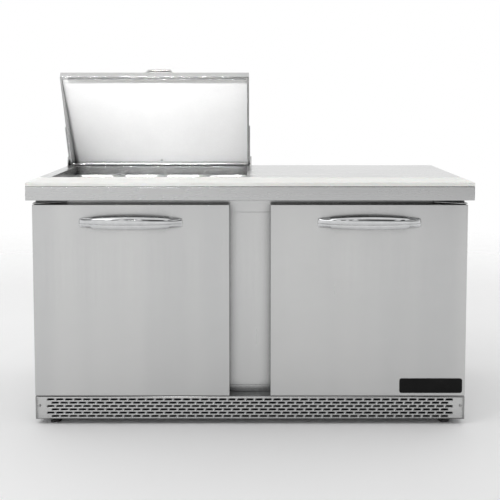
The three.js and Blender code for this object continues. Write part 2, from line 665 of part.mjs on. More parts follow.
function temperatureControl() {
  const wall = LINER_X - GAP;
  const body = box([wall - 34, wall], [140, 240], [690, 750]);
  const dial = rod('x', [190, 716], 18, wall - 48, wall - 33, 16);
  return join(body, dial);
}

function cordGland() {
  const profile = [[5, -16], [8.4, -16], [8.4, 0.5], [13, 0.5], [13, 5], [9, 12], [5, 12], [5, -16]];
  const sleeve = turned(profile, [0, 0, 0]);
  return sleeve.rotateX(-Math.PI / 2).translate(CORD_HOLE[0], BACK_Y, CORD_HOLE[1]);
}

// ---------------------------------------------------------------- assembly

const table = new THREE.Group();

table.add(
  piece('left_side_panel', sidePanel(-1), steel),
  piece('right_side_panel', sidePanel(1), steel),
  piece('back_panel', backPanel(), galvanised),
  piece('base_pan', basePan(), galvanised),
  piece('top_rail', frameRail([UPPER_SEAM_Z, FASCIA_BOTTOM_Z - GAP]), steel),
  piece('bottom_rail', frameRail([BASE_TOP_Z + GAP, LOWER_SEAM_Z]), steel),
  piece('mullion', mullion(), steel),
  piece('interior_liner', interiorLiner(), linerPlastic),
  piece('shelf_post', shelfPost(), steel),
  piece('left_shelf', shelf(-1), wire),
  piece('right_shelf', shelf(1), wire),
  piece('front_grille', grille(), steel),
  piece('worktop', worktop(), steel),
  piece('pan_well', panWell(), steel),
  piece('divider_bar', dividerBar(), steel),
  piece('cutting_board', box([-TOP_WIDTH / 2 + 0.2, TOP_WIDTH / 2 - 0.2], [0, BOARD_DEPTH],
    [TOP_Z - BOARD_THICKNESS, TOP_Z]), boardPlastic),
);

const FOOT_X = 681;
const FOOT_Y = [58, 706];
for (const [sideName, x] of [['left', -FOOT_X], ['right', FOOT_X]]) {
  for (const [endName, y] of [['front', FOOT_Y[0]], ['rear', FOOT_Y[1]]]) {
    table.add(piece(`foot_${endName}_${sideName}`, foot(x, y), blackPlastic));
  }
}

for (let row = 0; row < PAN_ROWS; row += 1) {
  for (let column = 0; column < PAN_COLUMNS; column += 1) {
    const pan = piece(`pan_${row ? 'rear' : 'front'}_${column + 1}`, panGeometry(), steel);
    pan.position.x = WELL_X[0] + 2 + PAN_SIZE[0] / 2 + column * PAN_PITCH[0];
    pan.position.y = PAN_BACK_Y - PAN_SIZE[1] / 2 - (PAN_ROWS - 1 - row) * PAN_PITCH[1];
    table.add(pan);
  }
}

for (const [name, side] of [['left', -1], ['right', 1]]) {
  table.add(
    piece(`${name}_door_skin`, doorSkin(side), steel),
    piece(`${name}_door_liner`, doorLiner(side), linerPlastic),
    piece(`${name}_door_gasket`, doorGasket(side), gasketRubber),
    piece(`${name}_door_handle`, doorHandle(side), chrome),
    piece(`${name}_top_hinge`, doorBracket(side, true), steel),
    piece(`${name}_bottom_hinge`, doorBracket(side, false), steel),
  );
}
table.add(piece('name_plate', namePlate(), blackPlastic));

// The lid's side straps lie against its sides, and each bracket's ear stands just outside its strap.
const STRAP = 4;
const EAR = 5;
const leftStrap = [LID_X[0] - GAP - STRAP, LID_X[0] - GAP];
const rightStrap = [LID_X[1] + GAP, LID_X[1] + GAP + STRAP];
const leftEar = [leftStrap[0] - 1 - EAR, leftStrap[0] - 1];
const rightEar = [rightStrap[1] + 1, rightStrap[1] + 1 + EAR];
for (const [name, ear, pin] of [
  ['lid_hinge_left', leftEar, [leftEar[0] + 1, LID_X[0] + LID_WALL - 2]],
  ['lid_hinge_right', rightEar, [LID_X[1] - LID_WALL + 2, rightEar[1] - 1]],
]) {
  const bracket = piece(name, lidBracket(ear, pin), steel);
  bracket.position.set(0, LID_AXIS_Y, TOP_Z + GAP);
  table.add(bracket);
}

const lid = new THREE.Group();
lid.position.set(0, LID_AXIS_Y, LID_AXIS_Z);
lid.rotation.x = THREE.MathUtils.degToRad(-LID_OPEN_DEG);
lid.add(
  piece('lid_shell', lidShell(), steel),
  piece('lid_inner_panel', lidPanel(), brightPanel),
  piece('lid_arm_left', lidArm(leftStrap), steel),
  piece('lid_arm_right', lidArm(rightStrap), steel),
  piece('lid_handle', lidHandle(), chrome),
);
table.add(lid);

table.add(
  piece('evaporator_cover', evaporatorCover(), fin),
  piece('evaporator_coil', coil(EVAPORATOR_X, [632, 692], EVAPORATOR_COIL_Z, 14), fin),
  piece('evaporator_fan', fanBlades(EVAPORATOR_FAN, [568, 582], 70, 5), blackPlastic),
  piece('evaporator_fan_motor', fanMotor(EVAPORATOR_FAN, [585, 618], 28, [-148, 148]), blackEnamel),
  piece('condenser_coil', coil(CONDENSER_X, [575, 632], [BASE_FLOOR + GAP, 285], 14), fin),
  piece('condenser_fan', fanBlades(CONDENSER_FAN, [642, 658], 95, 5), blackPlastic),
  piece('condenser_fan_motor', fanMotor(CONDENSER_FAN, [663, 700], 34, [-385, -115]), blackEnamel),
  piece('compressor', compressor(), blackEnamel),
  piece('discharge_line', dischargeLine(), copper),
  piece('condensate_pan', condensatePan(), blackPlastic),
  piece('temperature_control', temperatureControl(), blackPlastic),
  piece('cord_gland', cordGland(), blackPlastic),
);

// ---------------------------------------------------------------- origin: on the floor, under the middle

const frontMost = DOOR_FRONT_Y - GAP - HANDLE_BOW;
const openAngle = THREE.MathUtils.degToRad(-LID_OPEN_DEG);
const rearMost = LID_AXIS_Y + LID_REAR_TOP[0] * Math.cos(openAngle) - LID_REAR_TOP[1] * Math.sin(openAngle);
table.position.y = -(frontMost + rearMost) / 2;

export default table;
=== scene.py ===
"""Sandwich prep table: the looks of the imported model, with its floor, lights and camera.

Metres, +Z up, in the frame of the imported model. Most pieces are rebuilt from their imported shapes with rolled
edges. The grille, door handles, pans, shelves and feet are made anew, and the fan guard and screws are added.
"""

import json
import math

import bmesh
import bpy
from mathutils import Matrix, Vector


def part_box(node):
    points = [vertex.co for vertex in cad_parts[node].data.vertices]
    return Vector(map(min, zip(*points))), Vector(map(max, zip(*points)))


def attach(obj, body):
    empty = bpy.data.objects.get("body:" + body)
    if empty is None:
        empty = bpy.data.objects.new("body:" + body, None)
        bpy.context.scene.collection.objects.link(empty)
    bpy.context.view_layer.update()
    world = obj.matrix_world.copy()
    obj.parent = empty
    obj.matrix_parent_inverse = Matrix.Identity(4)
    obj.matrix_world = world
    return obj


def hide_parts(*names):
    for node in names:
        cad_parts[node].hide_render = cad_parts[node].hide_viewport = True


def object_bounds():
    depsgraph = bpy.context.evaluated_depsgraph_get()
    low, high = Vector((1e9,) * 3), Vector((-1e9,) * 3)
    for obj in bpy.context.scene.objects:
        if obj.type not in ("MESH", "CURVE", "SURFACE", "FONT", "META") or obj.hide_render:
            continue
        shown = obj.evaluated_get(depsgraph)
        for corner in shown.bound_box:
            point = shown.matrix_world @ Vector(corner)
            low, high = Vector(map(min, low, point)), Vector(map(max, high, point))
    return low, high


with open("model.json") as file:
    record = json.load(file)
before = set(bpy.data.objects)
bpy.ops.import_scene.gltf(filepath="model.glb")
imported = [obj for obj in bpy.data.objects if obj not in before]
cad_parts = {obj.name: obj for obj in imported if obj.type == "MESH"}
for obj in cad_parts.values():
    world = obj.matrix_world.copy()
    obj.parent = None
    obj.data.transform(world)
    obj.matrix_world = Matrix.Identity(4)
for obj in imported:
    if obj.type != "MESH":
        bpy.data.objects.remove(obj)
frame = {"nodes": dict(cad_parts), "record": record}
cad_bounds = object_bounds()
scene = bpy.context.scene

BODY_OF = {
    node: body
    for body, nodes in frame["record"]["behaviour"]["bodies"].items()
    for node in nodes
}


# ------------------------------------------------------------------ materials


def set_stops(ramp, stops):
    """Gives a colour ramp node its grey stops, each a place and a value."""
    elements = ramp.color_ramp.elements
    while len(elements) < len(stops):
        elements.new(0.5)
    for stop, (position, value) in zip(elements, stops):
        stop.position = position
        stop.color = (value, value, value, 1)


class Look:
    """A material under construction, with short names for the nodes it is made of."""

    def __init__(self, name, **constants):
        self.material = bpy.data.materials.new(name)
        self.material.use_nodes = True
        self.tree = self.material.node_tree
        self.shader = self.tree.nodes["Principled BSDF"]
        for socket, value in constants.items():
            self.shader.inputs[socket.replace("_", " ")].default_value = value

    def node(self, kind, **settings):
        made = self.tree.nodes.new("ShaderNode" + kind)
        for key, value in settings.items():
            setattr(made, key, value)
        return made

    def link(self, source, target):
        self.tree.links.new(source, target)

    def place(self, stretch=(1, 1, 1), turn=(0, 0, 0)):
        """The point on the piece, in its body's frame, stretched along the axes."""
        mapping = self.node("Mapping")
        mapping.inputs["Scale"].default_value = stretch
        mapping.inputs["Rotation"].default_value = turn
        self.link(self.node("TexCoord").outputs["Object"], mapping.inputs["Vector"])
        return mapping.outputs["Vector"]

    def noise(self, place, detail=3.0, roughness=0.5):
        made = self.node("TexNoise")
        made.inputs["Scale"].default_value = 1.0
        made.inputs["Detail"].default_value = detail
        made.inputs["Roughness"].default_value = roughness
        self.link(place, made.inputs["Vector"])
        return made.outputs["Fac"]

    def stops(self, factor, values, start=0.0, end=1.0):
        """Grey values at given places between start and end along a number."""
        spread = self.node("MapRange")
        spread.inputs["From Min"].default_value = start
        spread.inputs["From Max"].default_value = end
        self.link(factor, spread.inputs["Value"])
        made = self.node("ValToRGB")
        set_stops(made, values)
        self.link(spread.outputs["Result"], made.inputs["Fac"])
        return made.outputs["Color"]

    def painted_recess_shade(self, recess_shade):
        """Painted shade in hollows and along seams: ambient occlusion darkens the colour there."""
        reach = 0.05
        made = self.node("AmbientOcclusion", samples=6)
        made.inputs["Distance"].default_value = reach
        return self.ramp(made.outputs["AO"], recess_shade, 1.0, (0.25, 0.9))

    def ramp(self, factor, low, high, at=(0.3, 0.7)):
        """A smooth change from one colour or grey value to another."""
        made = self.node("ValToRGB")
        made.color_ramp.interpolation = "EASE"
        for stop, value, position in zip(made.color_ramp.elements, (low, high), at):
            stop.color = (*value, 1) if isinstance(value, tuple) else (value,) * 3 + (1,)
            stop.position = position
        self.link(factor, made.inputs["Fac"])
        return made.outputs["Color"]

    def blend(self, a, b, share=0.5, mode="MULTIPLY"):
        """Two colours mixed; a, b and the share are sockets or plain values."""
        made = self.node("Mix", data_type="RGBA", blend_type=mode, clamp_result=True)
        for socket, value in ((made.inputs[0], share), (made.inputs[6], a), (made.inputs[7], b)):
            if isinstance(value, bpy.types.NodeSocket):
                self.link(value, socket)
            else:
                socket.default_value = value
        return made.outputs[2]

    def colour(self, source):
        self.link(source, self.shader.inputs["Base Color"])

    def roughness(self, source):
        self.link(source, self.shader.inputs["Roughness"])

    def bump(self, *layers):
        """Relief from several heights, each with its depth in metres."""
        normal = None
        for height, depth in layers:
            made = self.node("Bump")
            made.inputs["Strength"].default_value = 1.0
            made.inputs["Distance"].default_value = depth
            self.link(height, made.inputs["Height"])
            if normal is not None:
                self.link(normal, made.inputs["Normal"])
            normal = made.outputs["Normal"]
        self.link(normal, self.shader.inputs["Normal"])


def grey(value, tint=(1.0, 1.0, 1.0)):
    """A grey, or with a tint a faintly coloured one."""
    return tuple(value * t for t in tint)


STAINLESS = 0.60      # how much light polished stainless sheet gives back


def brushed(name, along, rough=(0.24, 0.28), recess_shade=0.3):
    """Stainless sheet with its grain along one axis: 0 is X, 1 is Y and 2 is Z."""
    cool, warm = (0.995, 1.0, 1.0), (1.0, 0.997, 0.992)
    look = Look(name, Metallic=1.0)

    def drawn_out(across_grain, along_grain):
        """The point on the sheet, for a pattern that is long along the grain."""
        return look.place([along_grain if axis == along else across_grain for axis in range(3)])

    grain = look.noise(drawn_out(900.0, 14.0), detail=2)
    streak = look.noise(drawn_out(75.0, 0.8), detail=3, roughness=0.5)
    cloud = look.noise(drawn_out(6.5, 0.3), detail=2)
    smudge = look.noise(look.place((5, 5, 5)), detail=3, roughness=0.6)
    tone = look.ramp(streak, grey(STAINLESS * 0.988, cool), grey(STAINLESS * 1.012, cool), (0.2, 0.8))
    tone = look.blend(tone, look.ramp(cloud, grey(0.93), grey(1.0, warm), (0.3, 0.7)), 1.0)
    tone = look.blend(tone, look.ramp(grain, 0.985, 1.0, (0.3, 0.7)), 1.0)
    # The colour is darkened by painted shade in hollows and along seams.
    look.colour(look.blend(tone, look.painted_recess_shade(recess_shade), 1.0))
    polish = look.ramp(streak, rough[0], rough[1], (0.2, 0.85))
    look.roughness(look.blend(polish, look.ramp(smudge, 0.9, 1.0, (0.3, 0.7)), 1.0))
    look.bump((grain, 0.0000015))
    return look.material


def satin_steel(name, base=STAINLESS):
    """Drawn stainless: even satin with faint rubbing marks both ways."""
    look = Look(name, Metallic=1.0)
    rub = look.noise(look.place((420, 60, 40)), detail=3)
    rub_across = look.noise(look.place((50, 420, 40)), detail=3)
    wear = look.noise(look.place((24, 24, 24)), detail=4, roughness=0.65)
    tone = look.ramp(wear, grey(base * 0.96), grey(base * 1.02), (0.25, 0.75))
    look.colour(look.blend(tone, look.ramp(rub, 0.93, 1.0), 1.0))
    look.roughness(look.ramp(look.blend(rub, rub_across, 0.5, "MIX"), 0.24, 0.34, (0.3, 0.7)))
    look.bump((rub, 0.00001), (rub_across, 0.00001))
    return look.material


def galvanised(name):
    """Zinc-coated sheet with its crystal spangle."""
    look = Look(name, Metallic=1.0)
    spangle = look.node("TexVoronoi")
    spangle.inputs["Scale"].default_value = 95
    look.link(look.place(), spangle.inputs["Vector"])
    flake = look.node("SeparateColor")
    look.link(spangle.outputs["Color"], flake.inputs["Color"])
    cloud = look.noise(look.place((6, 6, 6)), detail=3)
    tone = look.ramp(flake.outputs["Red"], grey(0.40), grey(0.52, (0.98, 1.0, 1.02)), (0.0, 1.0))
    look.colour(look.blend(tone, look.ramp(cloud, 0.86, 1.0), 1.0))
    look.roughness(look.ramp(flake.outputs["Green"], 0.38, 0.58, (0.0, 1.0)))
    look.bump((cloud, 0.0001))
    return look.material


def mirror_chrome(name):
    """Polished plating with a little haze and rubbing."""
    cool = (0.99, 1.0, 1.01)
    look = Look(name, Metallic=1.0)
    haze = look.noise(look.place((35, 35, 35)), detail=4, roughness=0.6)
    rubbed = look.noise(look.place((90, 500, 500)), detail=2)
    look.colour(look.ramp(haze, grey(0.56, cool), grey(0.62, cool)))
    look.roughness(look.ramp(look.blend(haze, rubbed, 0.4, "MIX"), 0.03, 0.08, (0.35, 0.7)))
    look.bump((rubbed, 0.000003))
    return look.material


def plastic(name, low, high, rough, grain_scale=700.0, depth=0.00002, coat=0.0, cloud_scale=9.0, shine=0.5):
    """Moulded plastic or enamel: a slightly clouded colour over a fine grain."""
    look = Look(name, Coat_Weight=coat, Coat_Roughness=0.08, Specular_IOR_Level=shine)
    cloud = look.noise(look.place((cloud_scale,) * 3), detail=4, roughness=0.6)
    grain = look.noise(look.place((grain_scale,) * 3), detail=2)
    look.colour(look.blend(look.ramp(cloud, low, high), look.ramp(grain, 0.96, 1.0), 1.0))
    look.roughness(look.ramp(look.blend(cloud, grain, 0.4, "MIX"), rough[0], rough[1], (0.3, 0.7)))
    look.bump((grain, depth), (cloud, depth * 4))
    return look.material


def cutting_plastic(name):
    """Board plastic: fine knife scores at two angles in a matt milled surface."""
    look = Look(name, Subsurface_Weight=0.06, Subsurface_Scale=0.004)
    cloud = look.noise(look.place((5, 9, 9)), detail=4)
    grain = look.noise(look.place((600, 600, 600)), detail=2)
    scores = [look.noise(look.place((9, 330, 330), (0, 0, turn)), detail=1) for turn in (0.5, -0.9)]
    cuts = [look.ramp(score, 0.0, 1.0, (0.66, 0.7)) for score in scores]
    both = look.blend(cuts[0], cuts[1], 1.0, "LIGHTEN")
    tone = look.ramp(cloud, (0.86, 0.865, 0.835), (0.89, 0.895, 0.865))
    look.colour(look.blend(tone, (0.70, 0.70, 0.66, 1), look.ramp(both, 0.0, 0.35, (0.0, 1.0)), "MIX"))
    look.roughness(look.ramp(grain, 0.46, 0.62))
    inverse = look.node("Invert")
    look.link(both, inverse.inputs["Color"])
    look.bump((grain, 0.00003), (inverse.outputs["Color"], 0.00012))
    return look.material


def ribbed_rubber(name):
    """Magnetic door seal: soft grey rubber with fine lines along it."""
    look = Look(name)
    cloud = look.noise(look.place((40, 40, 40)), detail=3)
    lines = look.node("TexWave", wave_type="BANDS", bands_direction="DIAGONAL")
    lines.inputs["Scale"].default_value = 120
    look.link(look.place(), lines.inputs["Vector"])
    look.colour(look.ramp(cloud, grey(0.10), grey(0.16)))
    look.roughness(look.ramp(cloud, 0.62, 0.8))
    look.bump((lines.outputs["Fac"], 0.0001))
    return look.material


def copper_pipe(name):
    """Drawn copper, partly tarnished."""
    look = Look(name, Metallic=1.0)
    tarnish = look.noise(look.place((28, 28, 28)), detail=5, roughness=0.7)
    drawn = look.noise(look.place((40, 600, 600)), detail=2)
    tone = look.ramp(tarnish, (0.36, 0.15, 0.08), (0.78, 0.36, 0.2), (0.35, 0.65))
    look.colour(look.blend(tone, look.ramp(drawn, 0.9, 1.0), 1.0))
    look.roughness(look.ramp(tarnish, 0.46, 0.22))
    look.bump((drawn, 0.00002))
    return look.material


WAVE_EDGES = 6.28     # about how many band edges a wave texture of scale 1 shows in a metre


def finned_aluminium(name, fins=420.0):
    """Thin aluminium sheet; fins is about how many fin edges show in a metre, or 0 for plain sheet."""
    look = Look(name, Metallic=1.0)
    cloud = look.noise(look.place((20, 20, 20)), detail=4)
    streak = look.noise(look.place((260, 260, 6)), detail=3)
    tone = look.blend(look.ramp(cloud, grey(0.56), grey(0.68)), look.ramp(streak, 0.9, 1.0), 1.0)
    look.roughness(look.ramp(streak, 0.3, 0.5))
    if fins:
        fin_shade_bands = look.node("TexWave", wave_type="BANDS", bands_direction="X")
        fin_shade_bands.inputs["Scale"].default_value = fins / WAVE_EDGES
        look.link(look.place(), fin_shade_bands.inputs["Vector"])
        # The dark bands between fin edges are painted shade between the fins; the bump gives their relief.
        tone = look.blend(tone, look.ramp(fin_shade_bands.outputs["Fac"], 0.25, 1.0, (0.2, 0.6)), 1.0)
        look.bump((fin_shade_bands.outputs["Fac"], 0.0006), (cloud, 0.0001))
    else:
        look.bump((streak, 0.00002), (cloud, 0.0001))
    look.colour(tone)
    return look.material


# The brushed steels below darken their colour with painted shade in hollows and along seams.
STEEL_X = brushed("steel_brushed_across", 0)
STEEL_Z = brushed("steel_brushed_upright", 2)
STEEL_TOP = brushed("steel_worktop", 0, rough=(0.27, 0.32), recess_shade=0.5)
STEEL_WELL = brushed("steel_well", 0, rough=(0.22, 0.28), recess_shade=0.35)
STEEL_PAN = satin_steel("steel_drawn")
STEEL_SCREW = satin_steel("steel_screws", 0.5)
ZINC = galvanised("zinc_sheet")
CHROME = mirror_chrome("chrome")
LID_PANEL = plastic(
    "lid_panel_white", grey(0.93), grey(0.955), (0.1, 0.17), grain_scale=300, depth=0.000006, coat=0.8)
BOARD = cutting_plastic("board_plastic")
LINER = plastic(
    "liner_plastic", grey(0.74, (0.99, 1, 1)), grey(0.8, (0.99, 1, 1)), (0.34, 0.48),
    grain_scale=380, depth=0.00003)
RUBBER = ribbed_rubber("gasket_rubber")
BLACK = plastic(
    "black_plastic", grey(0.010), grey(0.018), (0.36, 0.52), grain_scale=500, depth=0.00003)
BLACK_GLOSS = plastic(
    "black_gloss", grey(0.005), grey(0.009), (0.2, 0.32), grain_scale=300, depth=0.000008, shine=0.12)
ENAMEL = plastic(
    "black_enamel", grey(0.012), grey(0.024), (0.2, 0.36),
    grain_scale=260, depth=0.00004, coat=0.4, cloud_scale=30.0)
COPPER = copper_pipe("copper")
FINS = finned_aluminium("finned_aluminium")
SHEET_ALUMINIUM = finned_aluminium("sheet_aluminium", 0)
WIRE = plastic(
    "coated_wire", grey(0.70, (1, 1, 0.99)), grey(0.78, (1, 1, 0.99)), (0.24, 0.36),
    grain_scale=500, depth=0.00002, coat=0.3)


# ------------------------------------------------------------------ mesh helpers


SAME_PLACE = 1e-5     # two points this close, in metres, count as one

def finish_piece(name, bm, material, body, replaces=(), sharp=35):
    """A named object from a bmesh, shaded smooth across its rolled edges, riding on its body."""
    bmesh.ops.recalc_face_normals(bm, faces=bm.faces)
    mesh = bpy.data.meshes.new(name)
    bm.to_mesh(mesh)
    bm.free()
    mesh.materials.append(material)
    mesh.shade_smooth()
    mesh.set_sharp_from_angle(angle=math.radians(sharp))
    made = bpy.data.objects.new(name, mesh)
    scene.collection.objects.link(made)
    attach(made, body)
    if replaces:
        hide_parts(*replaces)
    return made


def weighted(made):
    """Keeps the flats flat next to rolled edges."""
    modifier = made.modifiers.new("flats", "WEIGHTED_NORMAL")
    modifier.keep_sharp = True
    return made


def roll(bm, edges, width, segments):
    """Rounds the given edges."""
    bmesh.ops.bevel(
        bm, geom=edges, offset=width, offset_type="OFFSET", segments=segments,
        profile=0.5, affect="EDGES", clamp_overlap=True,
    )


def sharp_edges(bm, angle=28):
    """The edges between two faces that turn by more than an angle in degrees."""
    limit = math.radians(angle)
    return [e for e in bm.edges if len(e.link_faces) == 2 and e.calc_face_angle(0) > limit]


def packed_mesh(node):
    """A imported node's mesh with its flat faces whole again."""
    bm = bmesh.new()
    bm.from_mesh(frame["nodes"][node].data)
    bmesh.ops.remove_doubles(bm, verts=bm.verts, dist=SAME_PLACE)
    bmesh.ops.dissolve_limit(bm, angle_limit=math.radians(0.4), verts=bm.verts, edges=bm.edges)
    return bm


def rebuilt(node, material, edge=0.0004, outer=None, second=None):
    """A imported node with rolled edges. outer is a wider roll for the edges that run along its box's edges.
    second is another material and a test of which faces have it."""
    bm = packed_mesh(node)
    if outer:
        low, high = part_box(node)

        def on_box(v):
            gaps = [min(abs(v.co[i] - low[i]), abs(v.co[i] - high[i])) for i in range(3)]
            return sum(gap < SAME_PLACE for gap in gaps) >= 2

        wide = [e for e in sharp_edges(bm) if on_box(e.verts[0]) and on_box(e.verts[1])]
        roll(bm, wide, outer, 4)
    narrow = [e for e in sharp_edges(bm) if e.calc_length() > 3 * edge]
    roll(bm, narrow, edge, 2)
    bmesh.ops.recalc_face_normals(bm, faces=bm.faces)
    if second:
        for face in bm.faces:
            face.material_index = int(second[1](face))
    made = finish_piece(node + "_made", bm, material, BODY_OF[node], (node,))
    if second:
        made.data.materials.append(second[0])
    return weighted(made)


def ring(bm, points):
    """New vertices at the given points."""
    return [bm.verts.new(p) for p in points]


def skin(bm, rings, caps=True):
    """Faces between successive rings of points; caps closes the first ring and the last."""
    for a, b in zip(rings, rings[1:]):
        for i in range(len(a)):
            j = (i + 1) % len(a)
            bm.faces.new((a[i], a[j], b[j], b[i]))
    if caps:
        bm.faces.new(rings[0])
        bm.faces.new(rings[-1])


def round_rectangle(width, depth, radius, steps=8):
    """Points round a rectangle with round corners, about its centre."""
    points = []
    for corner in range(4):
        sx = 1 if corner in (0, 3) else -1
        sy = 1 if corner < 2 else -1
        for i in range(steps + 1):
            a = (corner + i / steps) * math.pi / 2
            points.append((
                sx * (width / 2 - radius) + radius * math.cos(a),
                sy * (depth / 2 - radius) + radius * math.sin(a),
            ))
    return points


def lathe(bm, profile, centre, sides=40):
    """A profile of (radius, height) turned round the upright axis through centre."""
    rings = []
    for radius, height in profile:
        points = []
        for i in range(sides):
            a = 2 * math.pi * i / sides
            points.append(Vector(centre) + Vector((radius * math.cos(a), radius * math.sin(a), height)))
        rings.append(ring(bm, points))
    skin(bm, rings)


def tube(bm, path, radius, sides=8, closed=False):
    """A round bar along a path of points."""
    path = [Vector(p) for p in path]
    count = len(path)
    rings = []
    normal = None
    for i, point in enumerate(path):
        if closed:
            heading = path[(i + 1) % count] - path[i - 1]
        else:
            heading = path[min(i + 1, count - 1)] - path[max(i - 1, 0)]
        heading.normalize()
        if normal is None:
            normal = heading.orthogonal().normalized()
        normal = (normal - heading * normal.dot(heading)).normalized()
        side = heading.cross(normal)
        rings.append(ring(bm, [
            point + radius * (math.cos(a) * normal + math.sin(a) * side)
            for a in (2 * math.pi * k / sides for k in range(sides))
        ]))
    if closed:
        rings.append(rings[0])
    skin(bm, rings, caps=not closed)


def screw(bm, at, direction, radius=0.0042):
    """A pan-head screw with a cross recess, standing on a surface."""
    turn = Vector(direction).normalized().to_track_quat("Z", "Y").to_matrix()
    dome = ((1.0, 0.0), (1.0, 0.22), (0.9, 0.42), (0.66, 0.56), (0.36, 0.63))
    cross_tip, cross_root, cross_floor = 0.30, 0.09, 0.3
    sides = 24

    def circle(reach, height):
        """Points round the screw's axis; reach gives each one's distance, in radii."""
        points = []
        for i in range(sides):
            a = 2 * math.pi * i / sides
            offset = Vector((reach(i) * math.cos(a), reach(i) * math.sin(a), height))
            points.append(Vector(at) + turn @ (radius * offset))
        return points

    rings = [ring(bm, circle(lambda i: share, height)) for share, height in dome]
    rings.append(ring(bm, circle(lambda i: cross_tip if i % 6 == 0 else cross_root, cross_floor)))
    skin(bm, rings)


# ------------------------------------------------------------------ cabinet

for node in ("left_side_panel", "right_side_panel"):
    rebuilt(node, STEEL_Z, edge=0.0004, outer=0.0022)
rebuilt("back_panel", ZINC, edge=0.0003)


def painted_shade_inside_base(face):
    """Whether a face of the base is on its inside, painted black as shade behind the grille slots: away from
    every side of its box.
    """
    low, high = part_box("base_pan")
    outside = 0.0006
    middle = face.calc_center_median()
    gaps = [min(abs(middle[i] - low[i]), abs(middle[i] - high[i])) for i in range(3)]
    return min(gaps) > outside


# The base's inside faces take black plastic as painted shade behind the grille.
rebuilt("base_pan", ZINC, edge=0.0003, outer=0.001, second=(BLACK, painted_shade_inside_base))
rebuilt("top_rail", STEEL_Z, edge=0.0004, outer=0.0026)
rebuilt("bottom_rail", STEEL_Z, edge=0.0004, outer=0.0026)
rebuilt("mullion", STEEL_Z, edge=0.0004, outer=0.0026)
rebuilt("interior_liner", LINER, edge=0.0005)
rebuilt("shelf_post", SHEET_ALUMINIUM, edge=0.001)
rebuilt("worktop", STEEL_TOP, edge=0.0005, outer=0.0026)
rebuilt("pan_well", STEEL_WELL, edge=0.0003)
rebuilt("divider_bar", STEEL_WELL, edge=0.0012)
rebuilt("cutting_board", BOARD, edge=0.0022)
for node in (
    "left_top_hinge", "left_bottom_hinge", "right_top_hinge", "right_bottom_hinge",
    "lid_hinge_left", "lid_hinge_right",
):
    rebuilt(node, STEEL_X, edge=0.0006)


def front_grille():
    """The bottom grille: one sheet with six staggered rows of round-ended slots."""
    low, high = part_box("front_grille")
    pitch, row_pitch = 0.0314, 0.0118
    slot_half, slot_radius = 0.0126, 0.0035
    rows, long_row, short_row = 6, 45, 44
    lowest_slots = 0.0098
    sheet = 0.0012
    first = low.z + lowest_slots - row_pitch / 2
    y = low.y + sheet / 2
    bm = bmesh.new()

    def vertex(x, z):
        return bm.verts.new((x, y, z))

    def slot_cell(x, z):
        """The sheet round one slot; its outer points match those of the staggered rows beside it."""
        arc = [math.radians(a) for a in (45, 0, -45)]
        flat = slot_half - slot_radius
        top = [(t * flat, slot_radius) for t in (-1, -0.5, 0, 0.5, 1)]
        right = [(flat + slot_radius * math.cos(a), slot_radius * math.sin(a)) for a in arc]
        inner = top + right + [(-u, -v) for u, v in top] + [(-u, -v) for u, v in right]
        half, tall = pitch / 2, row_pitch / 2
        top = [(t * half, tall) for t in (-1, -0.5, 0, 0.5, 1)]
        right = [(half, v * tall) for v in (0.5, 0, -0.5)]
        outer = top + right + [(-u, -v) for u, v in top] + [(-u, -v) for u, v in right]
        a = [vertex(x + u, z + v) for u, v in inner]
        b = [vertex(x + u, z + v) for u, v in outer]
        for i in range(len(a)):
            j = (i + 1) % len(a)
            bm.faces.new((a[i], b[i], b[j], a[j]))

    for row in range(rows):
        count = long_row if row % 2 else short_row
        z = first + (row + 0.5) * row_pitch
        for i in range(count):
            slot_cell((i - (count - 1) / 2) * pitch, z)
        reach = count * pitch / 2
        wide = long_row * pitch / 2
        for side in (-1, 1):
            bottom = [(side * high.x, z - row_pitch / 2), (side * wide, z - row_pitch / 2)]
            if count == short_row:
                bottom += [(side * u, z - row_pitch / 2) for u in (wide - pitch / 4, reach)]
            sides = [(side * reach, z + v * row_pitch / 2) for v in (-0.5, 0, 0.5)]
            top = [(u, z + row_pitch / 2) for u, _ in reversed(bottom)]
            bm.faces.new([vertex(u, v) for u, v in bottom + sides + top])
    edge_points = [k * pitch / 4 for k in range(-2 * long_row, 2 * long_row + 1)]
    for z, border in ((first, low.z), (first + rows * row_pitch, high.z)):
        line = [(-high.x, z)] + [(x, z) for x in edge_points] + [(high.x, z)]
        bm.faces.new([vertex(u, v) for u, v in line + [(high.x, border), (-high.x, border)]])
    bmesh.ops.remove_doubles(bm, verts=bm.verts, dist=SAME_PLACE)
    bmesh.ops.recalc_face_normals(bm, faces=bm.faces)
    made = finish_piece("front_grille_sheet", bm, STEEL_X, "cabinet", ("front_grille",))
    thick = made.modifiers.new("sheet", "SOLIDIFY")
    thick.thickness = sheet
    thick.offset = 0


front_grille()


def grille_screws():
    """The screw at each end of the grille, a little above its middle."""
    low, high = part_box("front_grille")
    from_end, above_middle = 0.0125, 0.007
    bm = bmesh.new()
    for side in (-1, 1):
        at = (side * (high.x - from_end), low.y, (low.z + high.z) / 2 + above_middle)
        screw(bm, at, (0, -1, 0), radius=0.0046)
    finish_piece("grille_screws", bm, STEEL_SCREW, "cabinet")


grille_screws()


# A glide foot from the floor up: radius and height in metres.
FOOT_PROFILE = (
    (0.0002, 0.0002), (0.0165, 0.0), (0.0186, 0.0007), (0.0197, 0.0022), (0.02, 0.004), (0.0199, 0.0084),
    (0.019, 0.0098), (0.0162, 0.0118), (0.0146, 0.0136), (0.0141, 0.0152), (0.0141, 0.0187),
    (0.0002, 0.019),
)


def foot(node):
    """A glide foot: a round pad under a narrower stem."""
    low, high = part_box(node)
    centre = ((low.x + high.x) / 2, (low.y + high.y) / 2, low.z)
    bm = bmesh.new()
    lathe(bm, FOOT_PROFILE, centre)
    finish_piece(node + "_made", bm, BLACK, "cabinet", (node,))


for name in ("front_left", "front_right", "rear_left", "rear_right"):
    foot("foot_" + name)


